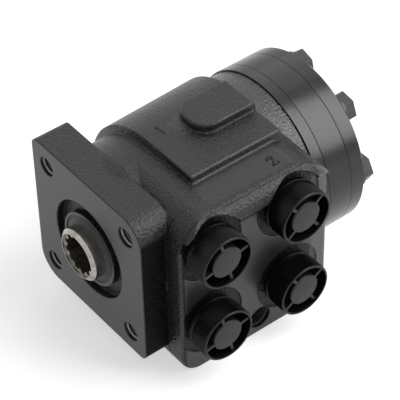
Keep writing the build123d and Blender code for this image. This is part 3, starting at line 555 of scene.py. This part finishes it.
EDGE_BREAK = 0.3                    # mm
EDGE_STEPS = 3
RIM_ANGLE = radians(60)             # an edge sharper than this is a rim
RIM_BAND = 1e-4                     # metres: a rim lies this near the outer radius
SMOOTH_ANGLE = radians(28)          # faces that meet at less than this shade as one
FACE_AREA_ONLY = 100                # weight at which the largest face gives the normal


def eased_disc(node_name, name):
    """A disc of the gear set with its outer edges broken, in place of the plain solid."""
    bm = bmesh.new()
    bm.from_mesh(frame["nodes"][node_name].data)
    bmesh.ops.remove_doubles(bm, verts=bm.verts, dist=WELD)
    outer = max(hypot(v.co.y, v.co.z) for v in bm.verts)
    rims = [e for e in bm.edges if len(e.link_faces) == 2 and e.calc_face_angle() > RIM_ANGLE
            and all(hypot(v.co.y, v.co.z) > outer - RIM_BAND for v in e.verts)]
    bmesh.ops.bevel(bm, geom=rims, offset=EDGE_BREAK * MM, segments=EDGE_STEPS, profile=0.5,
                    affect="EDGES", clamp_overlap=True)
    for face in bm.faces:
        face.smooth = True
    for edge in bm.edges:
        edge.smooth = len(edge.link_faces) == 2 and edge.calc_face_angle() < SMOOTH_ANGLE
    made = piece(name, bm, TURNED, "casing")
    normals = made.modifiers.new("even_normals", "WEIGHTED_NORMAL")
    normals.keep_sharp = True
    normals.weight = FACE_AREA_ONLY
    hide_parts(node_name)


# ---- cast figures ------------------------------------------------------------------

FIGURE_HEIGHT = 8.0                 # mm
FIGURE_RAISE = 0.6                  # mm
FIGURE_ROUND = 0.35                 # share of the raise that is rounded off
FIGURES = {"pad_figure": ("1", (0.0435, 0.002, 0.045)),
           "block_figure": ("2", (0.0713, -0.0415, 0.0414))}


def cast_figure(name, text, place):
    """A plain figure that stands out of a level surface, as a foundry casts it."""
    curve = bpy.data.curves.new(name, "FONT")
    curve.body = text
    curve.size = FIGURE_HEIGHT * MM
    curve.align_x = "CENTER"
    curve.align_y = "CENTER"
    curve.extrude = FIGURE_RAISE * MM / 2
    curve.bevel_depth = FIGURE_RAISE * MM * FIGURE_ROUND
    curve.bevel_resolution = 2
    maker = bpy.data.objects.new(name + "_text", curve)
    bpy.context.scene.collection.objects.link(maker)
    bpy.context.view_layer.update()
    mesh = bpy.data.meshes.new_from_object(maker.evaluated_get(bpy.context.evaluated_depsgraph_get()))
    bpy.data.objects.remove(maker)
    bm = bmesh.new()
    bm.from_mesh(mesh)
    bmesh.ops.translate(bm, vec=place, verts=bm.verts)
    return piece(name, bm, CAST, "casing")


# ---- studio and camera ---------------------------------------------------------------

FLOOR_HALF = 6.0                    # metres
FLOOR_GREY = 0.6
FLOOR_GLOW = 0.55
SKY_LIGHT, SKY_SEEN = 0.4, 1.0      # strength as light, and as seen


def seen_rays(tree):
    """1 for rays from the camera and for those seen in gloss or through glass, 0 for light."""
    path = node(tree, "ShaderNodeLightPath")
    indirect = maths(tree, "MAXIMUM", path.outputs["Is Glossy Ray"], path.outputs["Is Transmission Ray"])
    return maths(tree, "MAXIMUM", path.outputs["Is Camera Ray"], indirect)


def white_floor():
    """A matt floor that keeps the shadow and looks white where it is seen."""
    low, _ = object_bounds()
    bm = bmesh.new()
    bmesh.ops.create_grid(bm, x_segments=1, y_segments=1, size=FLOOR_HALF)
    bmesh.ops.translate(bm, vec=(0, 0, low[2]), verts=bm.verts)
    mesh = bpy.data.meshes.new("floor")
    bm.to_mesh(mesh)
    bm.free()
    floor = bpy.data.objects.new("floor", mesh)
    bpy.context.scene.collection.objects.link(floor)
    floor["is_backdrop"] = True

    material = bpy.data.materials.new("white_floor")
    material.use_nodes = True
    tree = material.node_tree
    tree.nodes.clear()
    matt = node(tree, "ShaderNodeBsdfDiffuse", {"Color": (FLOOR_GREY, FLOOR_GREY, FLOOR_GREY, 1)})
    glow = node(tree, "ShaderNodeEmission", {"Color": (1, 1, 1, 1), "Strength": FLOOR_GLOW})
    both = node(tree, "ShaderNodeAddShader", {0: matt.outputs[0], 1: glow.outputs[0]})
    chosen = node(tree, "ShaderNodeMixShader", {0: seen_rays(tree), 1: matt.outputs[0],
                                                2: both.outputs[0]})
    output = node(tree, "ShaderNodeOutputMaterial")
    tree.links.new(chosen.outputs[0], output.inputs["Surface"])
    mesh.materials.append(material)


def white_sky():
    """A white world that is dimmer as light than it looks."""
    world = bpy.data.worlds.new("studio_world")
    bpy.context.scene.world = world
    world.use_nodes = True
    tree = world.node_tree
    tree.nodes.clear()
    strength = between(tree, seen_rays(tree), SKY_LIGHT, SKY_SEEN)
    white = node(tree, "ShaderNodeBackground", {"Color": (1, 1, 1, 1), "Strength": strength})
    output = node(tree, "ShaderNodeOutputWorld")
    tree.links.new(white.outputs[0], output.inputs["Surface"])


def softbox(name, direction, distance, width, height, power):
    """An area lamp that faces the object's middle from a direction."""
    lamp = bpy.data.lights.new(name, "AREA")
    lamp.shape = "RECTANGLE"
    lamp.size = width
    lamp.size_y = height
    lamp.energy = power
    made = bpy.data.objects.new(name, lamp)
    aim = Vector(direction).normalized()
    made.matrix_world = aimed(AIM_POINT + aim * distance, aim)
    bpy.context.scene.collection.objects.link(made)


def camera():
    """The view: seen from above the column side, through a long lens."""
    azimuth, elevation, roll = radians(-37.23), radians(43.14), radians(-1.37)
    distance, shift_right, shift_up = 0.91588, 0.00225, -0.00396
    back = Vector((sin(azimuth) * cos(elevation), -cos(azimuth) * cos(elevation), sin(elevation)))
    level = Vector((cos(azimuth), sin(azimuth), 0))
    upright = back.cross(level)
    right = cos(roll) * level + sin(roll) * upright
    up = cos(roll) * upright - sin(roll) * level
    lens = bpy.data.cameras.new("camera")
    lens.sensor_width = 36.0
    lens.lens = 179.9
    made = bpy.data.objects.new("camera", lens)
    place = Matrix((right, up, back)).transposed().to_4x4()
    place.translation = AIM_POINT + back * distance + right * shift_right + up * shift_up
    made.matrix_world = place
    bpy.context.scene.collection.objects.link(made)
    bpy.context.scene.camera = made


column_threads()
port_threads()
for letter in "abcd":
    port_plug(letter)
for name in ("distributor_plate", "gear_rim", "end_cover"):
    eased_disc(name, f"eased_{name}")
for name, (text, place) in FIGURES.items():
    cast_figure(name, text, place)
white_floor()
white_sky()
softbox("key_softbox", (0.5, -0.5, 0.7), distance=1.2, width=0.7, height=1.5, power=19.0)
softbox("back_softbox", (0.44, 0.58, 0.68), distance=1.3, width=1.0, height=1.0, power=2.5)
camera()
bpy.context.scene.view_settings.view_transform = "Standard"
